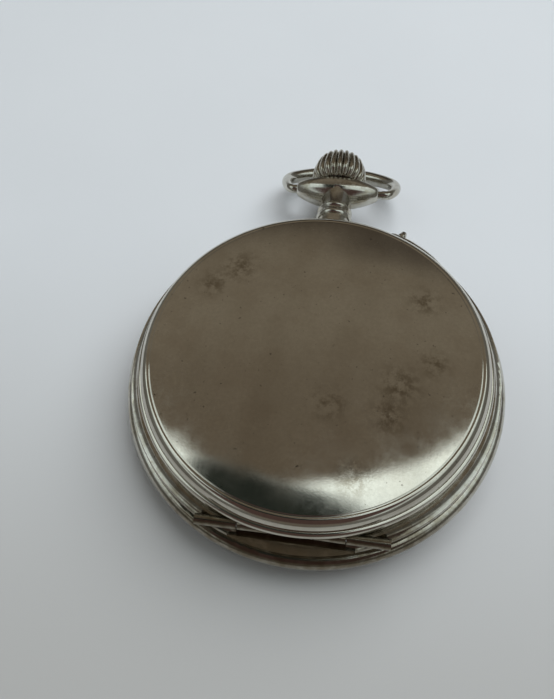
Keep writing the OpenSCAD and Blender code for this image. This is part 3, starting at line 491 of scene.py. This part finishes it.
def numeral(text, size, cx, cy, z):
    """A number in the built-in face, upright to someone who looks at the dial."""
    curve = bpy.data.curves.new("numeral", "FONT")
    curve.body = text
    curve.size = size
    curve.align_x = "CENTER"
    curve.align_y = "CENTER"
    curve.resolution_u = 6
    holder = bpy.data.objects.new("numeral", curve)
    bpy.context.scene.collection.objects.link(holder)
    bpy.context.view_layer.update()
    mesh = bpy.data.meshes.new_from_object(holder)
    verts = [(cx - v.co.x, cy + v.co.y, z) for v in mesh.vertices]
    faces = [tuple(p.vertices) for p in mesh.polygons]
    bpy.data.objects.remove(holder)
    bpy.data.curves.remove(curve)
    bpy.data.meshes.remove(mesh)
    return verts, faces


def build_dial_print():
    """Hour numbers, a minute track and the seconds scale, a hair above the enamel."""
    z, sub_z = DIAL_FACE_Z - PRINT_LIFT, SUBDIAL_FACE_Z - PRINT_LIFT
    shapes = [ring_line(r, 0.07, 0, 0, z) for r in TRACK_R]
    shapes.append(ticks(60, *TRACK_R, 0.1, 0, 0, z))
    shapes.append(ticks(12, 18.0, 19.05, 0.34, 0, 0, z))
    for hour in range(1, 13):
        a = math.radians(30 * hour)
        # The six is smaller, to clear the seconds scale
        reach, size = (SIX_R, SIX_SIZE) if hour == 6 else (HOUR_R, HOUR_SIZE)
        shapes.append(numeral(str(hour), size, -reach * math.sin(a), reach * math.cos(a), z))
    shapes += [ring_line(r, 0.05, 0, SUBDIAL_Y, sub_z) for r in SUBTRACK_R]
    shapes.append(ticks(60, *SUBTRACK_R, 0.06, 0, SUBDIAL_Y, sub_z))
    shapes.append(ticks(12, 3.6, SUBTRACK_R[1], 0.12, 0, SUBDIAL_Y, sub_z))
    for second in range(10, 70, 10):
        a = math.radians(6 * second)
        shapes.append(numeral(str(second), SECOND_SIZE, -SECOND_R * math.sin(a),
                              SUBDIAL_Y + SECOND_R * math.cos(a), sub_z))
    verts, faces = joined(shapes)
    return make_piece("dial_print", verts, faces, "case")


# ---------- materials ----------
GRIME_FROM_Y = -15
GRIME_FULL_Y = -21.5


def new_material(name):
    material = bpy.data.materials.new(name)
    material.use_nodes = True
    tree = material.node_tree
    return material, tree, tree.nodes["Principled BSDF"]


def coords(tree, scale=(1, 1, 1)):
    """Object coordinates in metres, stretched by scale."""
    source = tree.nodes.new("ShaderNodeTexCoord")
    mapping = tree.nodes.new("ShaderNodeMapping")
    mapping.inputs["Scale"].default_value = scale
    tree.links.new(source.outputs["Object"], mapping.inputs["Vector"])
    return mapping.outputs["Vector"]


def noise(tree, size_mm, detail=4.0, rough=0.55, stretch=(1, 1, 1)):
    """Noise whose features are about size_mm across."""
    node = tree.nodes.new("ShaderNodeTexNoise")
    node.inputs["Scale"].default_value = 1 / (size_mm * MM)
    node.inputs["Detail"].default_value = detail
    node.inputs["Roughness"].default_value = rough
    tree.links.new(coords(tree, stretch), node.inputs["Vector"])
    return node.outputs["Fac"]


def remap(tree, value, low, high, to_low=0.0, to_high=1.0, smooth=True):
    node = tree.nodes.new("ShaderNodeMapRange")
    if smooth:
        node.interpolation_type = "SMOOTHSTEP"
    keys = ("From Min", "From Max", "To Min", "To Max")
    for key, number in zip(keys, (low, high, to_low, to_high)):
        node.inputs[key].default_value = number
    tree.links.new(value, node.inputs["Value"])
    return node.outputs["Result"]


def blend_colour(tree, factor, first, second):
    node = tree.nodes.new("ShaderNodeMix")
    node.data_type = "RGBA"
    for socket, colour in (("A", first), ("B", second)):
        target = [s for s in node.inputs if s.name == socket and s.type == "RGBA"][0]
        if isinstance(colour, bpy.types.NodeSocket):
            tree.links.new(colour, target)
        else:
            target.default_value = (*colour, 1)
    tree.links.new(factor, node.inputs[0])
    return [s for s in node.outputs if s.type == "RGBA"][0]


def bump(tree, height, distance_mm, strength=1.0, below=None):
    node = tree.nodes.new("ShaderNodeBump")
    node.inputs["Strength"].default_value = strength
    node.inputs["Distance"].default_value = distance_mm * MM
    tree.links.new(height, node.inputs["Height"])
    if below is not None:
        tree.links.new(below, node.inputs["Normal"])
    return node.outputs["Normal"]


def smudges(tree, spots):
    """Where a surface is smudged: 1 in the middle of each (x, y, radius in mm), 0 outside."""
    total = None
    for x, y, radius in spots:
        node = tree.nodes.new("ShaderNodeVectorMath")
        node.operation = "DISTANCE"
        flat = tree.nodes.new("ShaderNodeVectorMath")
        flat.operation = "MULTIPLY"
        tree.links.new(coords(tree), flat.inputs[0])
        flat.inputs[1].default_value = (1, 1, 0)
        tree.links.new(flat.outputs["Vector"], node.inputs[0])
        node.inputs[1].default_value = (x * MM, y * MM, 0)
        spot = remap(tree, node.outputs["Value"], radius * MM, 0.0)
        total = spot if total is None else scalar(tree, "MAXIMUM", total, spot)
    return total


def scalar(tree, operation, first, second):
    """A maths node; each side is a socket or a number."""
    node = tree.nodes.new("ShaderNodeMath")
    node.operation = operation
    for socket, value in zip(node.inputs, (first, second)):
        if isinstance(value, bpy.types.NodeSocket):
            tree.links.new(value, socket)
        else:
            socket.default_value = value
    return node.outputs["Value"]


def worn_metal(name, bright, dull, rough_low, rough_high,
               patch_mm=5.0, wear=1.0, spots=(), grime=0.0):
    """Polished metal with tarnish, small pits, hairline scratches and soft unevenness.

    spots are smudges, and grime is how strongly dirt shows round the hinge.
    """
    material, tree, shader = new_material(name)
    shader.inputs["Metallic"].default_value = 1.0
    tarnish = remap(tree, noise(tree, patch_mm, 5, 0.6), 0.42, 0.66)
    colour = blend_colour(tree, tarnish, bright, dull)
    grain = remap(tree, noise(tree, 0.45, 4, 0.75), 0.3, 0.75, 0.0, 0.35, smooth=False)
    colour = blend_colour(tree, grain, colour, tuple(c * 0.62 for c in dull))
    pits = remap(tree, noise(tree, 0.55, 2, 0.5), 0.70, 0.76)
    colour = blend_colour(tree, pits, colour, tuple(c * 0.45 for c in dull))
    if spots:
        speckle = remap(tree, noise(tree, 1.3, 6, 0.7), 0.40, 0.62, 0.0, 0.9)
        stain = scalar(tree, "MULTIPLY", smudges(tree, spots), speckle)
        colour = blend_colour(tree, stain, colour, (0.26, 0.22, 0.16))
        cloud = remap(tree, noise(tree, 7.0, 3, 0.5, (1, 0.45, 1)), 0.40, 0.68, 0.0, 0.3)
        colour = blend_colour(tree, cloud, colour, (0.42, 0.38, 0.31))
    if grime:
        # Dirt gathers round the hinge
        parts = tree.nodes.new("ShaderNodeSeparateXYZ")
        tree.links.new(coords(tree), parts.inputs["Vector"])
        near = remap(tree, parts.outputs["Y"], GRIME_FROM_Y * MM, GRIME_FULL_Y * MM, 0.0, grime)
        mottle = remap(tree, noise(tree, 1.2, 5, 0.7), 0.25, 0.65, 0.5, 1.0)
        stain = scalar(tree, "MULTIPLY", near, mottle)
        colour = blend_colour(tree, stain, colour, (0.17, 0.14, 0.095))
    tree.links.new(colour, shader.inputs["Base Color"])
    sheen = noise(tree, patch_mm * 0.6, 6, 0.65)
    tree.links.new(remap(tree, sheen, 0.35, 0.7, rough_low, rough_high), shader.inputs["Roughness"])
    waves = bump(tree, noise(tree, 9.0, 1, 0.4), 0.05 * wear)
    fine = bump(tree, noise(tree, 0.25, 3, 0.6), 0.0012 * wear, below=waves)
    scratch = bump(tree, noise(tree, 0.35, 2, 0.7, (1, 0.06, 1)), 0.001 * wear, below=fine)
    tree.links.new(scratch, shader.inputs["Normal"])
    return material


def fine_metal(name, colour, shade, roughness, grain_mm=0.3, grain=0.002, stretch=(1, 1, 1)):
    """A finished metal for movement parts, with a fine grain and slight colour change."""
    material, tree, shader = new_material(name)
    shader.inputs["Metallic"].default_value = 1.0
    mix = remap(tree, noise(tree, 2.0, 4, 0.6), 0.35, 0.7)
    tree.links.new(blend_colour(tree, mix, colour, shade), shader.inputs["Base Color"])
    sheen = remap(tree, noise(tree, 0.8, 3, 0.6), 0.3, 0.7, roughness * 0.8, roughness * 1.3)
    tree.links.new(sheen, shader.inputs["Roughness"])
    grained = bump(tree, noise(tree, grain_mm, 2, 0.5, stretch), grain)
    tree.links.new(grained, shader.inputs["Normal"])
    return material


def striped_metal(name, colour, shade, pitch_mm):
    """Nickelled bridges with broad polished stripes across them."""
    material, tree, shader = new_material(name)
    shader.inputs["Metallic"].default_value = 1.0
    wave = tree.nodes.new("ShaderNodeTexWave")
    wave.inputs["Scale"].default_value = 1 / (pitch_mm * MM) / 3.2
    wave.inputs["Distortion"].default_value = 0.0
    turned = tree.nodes.new("ShaderNodeMapping")
    turned.inputs["Rotation"].default_value = (0, 0, math.radians(35))
    tree.links.new(coords(tree), turned.inputs["Vector"])
    tree.links.new(turned.outputs["Vector"], wave.inputs["Vector"])
    mix = remap(tree, wave.outputs["Fac"], 0.1, 0.9)
    tree.links.new(blend_colour(tree, mix, colour, shade), shader.inputs["Base Color"])
    tree.links.new(remap(tree, wave.outputs["Fac"], 0.0, 1.0, 0.2, 0.34), shader.inputs["Roughness"])
    tree.links.new(bump(tree, wave.outputs["Fac"], 0.02), shader.inputs["Normal"])
    return material


def glossy(name, colour, shade, roughness, size_mm=1.0, transmission=0.0):
    """Enamel or stone: a glossy coloured body with a faint change of tone."""
    material, tree, shader = new_material(name)
    shader.inputs["Roughness"].default_value = roughness
    shader.inputs["Transmission Weight"].default_value = transmission
    mix = remap(tree, noise(tree, size_mm, 3, 0.5), 0.35, 0.7)
    tree.links.new(blend_colour(tree, mix, colour, shade), shader.inputs["Base Color"])
    tree.links.new(bump(tree, noise(tree, size_mm * 2, 1, 0.4), 0.002), shader.inputs["Normal"])
    return material


def glass_material(name):
    material, tree, shader = new_material(name)
    shader.inputs["Base Color"].default_value = (0.96, 0.98, 0.98, 1)
    shader.inputs["Transmission Weight"].default_value = 1.0
    shader.inputs["IOR"].default_value = 1.5
    haze = remap(tree, noise(tree, 1.5, 5, 0.7), 0.55, 0.8, 0.01, 0.06)
    tree.links.new(haze, shader.inputs["Roughness"])
    return material


def floor_material():
    material, tree, shader = new_material("pale_surface")
    mix = remap(tree, noise(tree, 45, 3, 0.5), 0.3, 0.7)
    pale = blend_colour(tree, mix, (0.83, 0.86, 0.90), (0.81, 0.84, 0.88))
    # Painted shade: the floor is painted darker towards the near side (-Y), where less light falls
    # on it
    parts = tree.nodes.new("ShaderNodeSeparateXYZ")
    tree.links.new(coords(tree), parts.inputs["Vector"])
    near = remap(tree, parts.outputs["Y"], 0.03, -0.05)
    pale = blend_colour(tree, near, pale, (0.55, 0.55, 0.545))
    tree.links.new(pale, shader.inputs["Base Color"])
    shader.inputs["Roughness"].default_value = 0.75
    tree.links.new(bump(tree, noise(tree, 0.4, 3, 0.6), 0.004), shader.inputs["Normal"])
    return material


# Smudges on the back: x, y and radius in millimetres
SMUDGES = [
    (2.6, -7.6, 3.4),
    (11.0, -4.2, 4.4),
    (10.0, -8.2, 3.6),
    (15.0, -0.6, 3.0),
    (-11.5, 11.5, 4.0),
    (-14.6, 8.6, 3.4),
    (6.4, -16.0, 3.4),
    (13.6, 8.6, 3.4),
]
SILVER = worn_metal("worn_silver", (0.68, 0.65, 0.57), (0.62, 0.58, 0.50), 0.07, 0.13,
                    spots=SMUDGES)
SILVER_SMALL = worn_metal("worn_silver_small", (0.62, 0.60, 0.54), (0.46, 0.42, 0.34), 0.12, 0.24,
                          2.0, 0.5, grime=0.95)
CROWN = worn_metal("worn_nickel", (0.58, 0.55, 0.47), (0.36, 0.32, 0.25), 0.16, 0.30, 1.5, 0.5)
DUST = worn_metal("inner_silver", (0.72, 0.70, 0.66), (0.62, 0.60, 0.55), 0.08, 0.14, 6.0, 0.3)
MATERIALS = {
    "case_silver": SILVER_SMALL,
    "dust_cover_silver": DUST,
    "crystal_glass": glass_material("crystal"),
    "steel": fine_metal("polished_steel", (0.55, 0.56, 0.57), (0.46, 0.47, 0.49), 0.2),
    "spring_steel": fine_metal("blue_grey_steel", (0.22, 0.26, 0.36), (0.16, 0.18, 0.28), 0.25),
    "crown_nickel": CROWN,
    "blued_steel": fine_metal("blued_steel", (0.02, 0.045, 0.24), (0.03, 0.03, 0.14), 0.16),
    "dial_enamel": glossy("white_enamel", (0.86, 0.85, 0.80), (0.80, 0.79, 0.73), 0.12, 8.0),
    "wheel_brass": fine_metal("gilt_wheel", (0.80, 0.60, 0.26), (0.70, 0.50, 0.20), 0.24),
    "gilt_plate": fine_metal("frosted_gilt", (0.74, 0.56, 0.27), (0.62, 0.45, 0.20), 0.42,
                             0.12, 0.006),
    "bridge_nickel": striped_metal("striped_nickel", (0.70, 0.68, 0.62), (0.60, 0.58, 0.52), 2.2),
    "ruby": glossy("ruby", (0.55, 0.01, 0.06), (0.40, 0.0, 0.05), 0.05, 0.3, 0.4),
}
PRINT = glossy("black_print", (0.015, 0.015, 0.018), (0.03, 0.03, 0.03), 0.3, 1.0)


def give(piece, material):
    piece.data.materials.clear()
    piece.data.materials.append(material)


def dress_cad_nodes():
    for part in frame["record"]["subparts"]:
        give(nodes[part["node"]], MATERIALS[part["material_slot"]])


# ---------- stage ----------
def build_floor():
    mesh = bpy.data.meshes.new("floor")
    mesh.from_pydata([(-2, -2, 0), (2, -2, 0), (2, 2, 0), (-2, 2, 0)], [], [(0, 1, 2, 3)])
    floor = bpy.data.objects.new("floor", mesh)
    bpy.context.scene.collection.objects.link(floor)
    give(floor, floor_material())


def build_surroundings():
    """A soft studio with a warm ceiling, a pale near side and the dark shape of a viewer."""
    world = bpy.data.worlds.new("studio")
    bpy.context.scene.world = world
    world.use_nodes = True
    tree = world.node_tree
    background = tree.nodes["Background"]
    source = tree.nodes.new("ShaderNodeTexCoord")
    parts = tree.nodes.new("ShaderNodeSeparateXYZ")
    tree.links.new(source.outputs["Generated"], parts.inputs["Vector"])
    up = scalar(tree, "MAXIMUM", parts.outputs["Z"], 0.08)
    north = scalar(tree, "DIVIDE", parts.outputs["Y"], up)
    east = scalar(tree, "DIVIDE", parts.outputs["X"], up)
    aside = scalar(tree, "ABSOLUTE", east, 0.0)

    warm, warm_dark, dark = (0.20, 0.173, 0.135), (0.15, 0.125, 0.095), (0.045, 0.037, 0.03)
    dim_corner = (0.085, 0.072, 0.058)
    pale, paler = (0.80, 0.90, 0.90), (1.35, 1.5, 1.5)
    hair, jacket = (0.022, 0.028, 0.024), (0.085, 0.055, 0.05)
    low_wall, side_wall = (0.15, 0.135, 0.115), (0.15, 0.15, 0.14)
    colour = blend_colour(tree, remap(tree, north, 0.2, 0.75), warm_dark, warm)
    colour = blend_colour(tree, remap(tree, north, 1.1, 1.75), colour, dark)
    corner = scalar(tree, "MULTIPLY", remap(tree, north, 1.02, 1.3), remap(tree, east, -0.2, 0.15))
    colour = blend_colour(tree, corner, colour, dim_corner)
    # The pale near side, whose edge curves up to the left and right
    edge_e = scalar(tree, "MINIMUM", scalar(tree, "MAXIMUM", east, -0.9), 0.9)
    edge = scalar(tree, "ADD",
                  scalar(tree, "MULTIPLY", scalar(tree, "MULTIPLY", edge_e, edge_e), 0.7),
                  scalar(tree, "MULTIPLY", edge_e, 0.15))
    inside = scalar(tree, "SUBTRACT", north, edge)
    colour = blend_colour(tree, remap(tree, inside, 0.085, 0.045), colour,
                          blend_colour(tree, remap(tree, inside, 0.05, -0.15), paler, pale))
    # The viewer: a dark head left of the middle, and a reddish body below
    head = scalar(tree, "MULTIPLY", remap(tree, east, -0.5, -0.36), remap(tree, east, 0.20, 0.12))
    head_n = scalar(tree, "ADD", north, scalar(tree, "MULTIPLY", east, 0.18))
    head = scalar(tree, "MULTIPLY", head, remap(tree, head_n, 0.06, 0.02))
    colour = blend_colour(tree, head, colour, hair)
    body = scalar(tree, "MULTIPLY", remap(tree, aside, 1.2, 0.7), remap(tree, north, -0.22, -0.36))
    colour = blend_colour(tree, body, colour, jacket)
    colour = blend_colour(tree, remap(tree, north, -1.3, -2.2), colour, low_wall)
    colour = blend_colour(tree, remap(tree, aside, 0.95, 1.6), colour, side_wall)
    tree.links.new(colour, background.inputs["Color"])
    background.inputs["Strength"].default_value = 1.0


def build_lamp():
    """A broad soft lamp that lights the floor and isn't mirrored in the metal."""
    data = bpy.data.lights.new("lamp", "AREA")
    data.shape = "DISK"
    data.size = 0.9
    data.energy = 4.7
    data.color = (0.95, 0.98, 1.0)
    lamp = bpy.data.objects.new("lamp", data)
    bpy.context.scene.collection.objects.link(lamp)
    place = Vector((0.28, 0.34, 0.62))
    turn = (Vector((0, 0, 0)) - place).to_track_quat("-Z", "Y").to_matrix()
    lamp.matrix_world = Matrix.Translation(place) @ turn.to_4x4()
    lamp.visible_glossy = False


def build_camera():
    """A phone held above the near side of the watch."""
    place = Vector((4.51, -39.03, 83.74)) * MM
    target = Vector((-5.45, 3.02, 6.0)) * MM
    roll = math.radians(-5.75)
    camera = bpy.data.cameras.new("camera")
    camera.lens = 33.02
    camera.sensor_width = 36
    camera.clip_start = 0.005
    view = bpy.data.objects.new("camera", camera)
    bpy.context.scene.collection.objects.link(view)
    turn = (target - place).to_track_quat("-Z", "Y").to_matrix()
    view.matrix_world = Matrix.Translation(place) @ (turn @ Matrix.Rotation(roll, 3, "Z")).to_4x4()
    bpy.context.scene.camera = view


dress_cad_nodes()
give(build_back(), SILVER)
build_cover_knuckles()
build_pendant()
build_crown()
build_bow()
build_guard()
give(build_dial_print(), PRINT)
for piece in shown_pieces():
    if not piece.data.materials:
        give(piece, CROWN if piece.name == "crown_cap" else SILVER_SMALL)
build_floor()
build_surroundings()
build_lamp()
build_camera()
bpy.context.scene.view_settings.view_transform = "Standard"
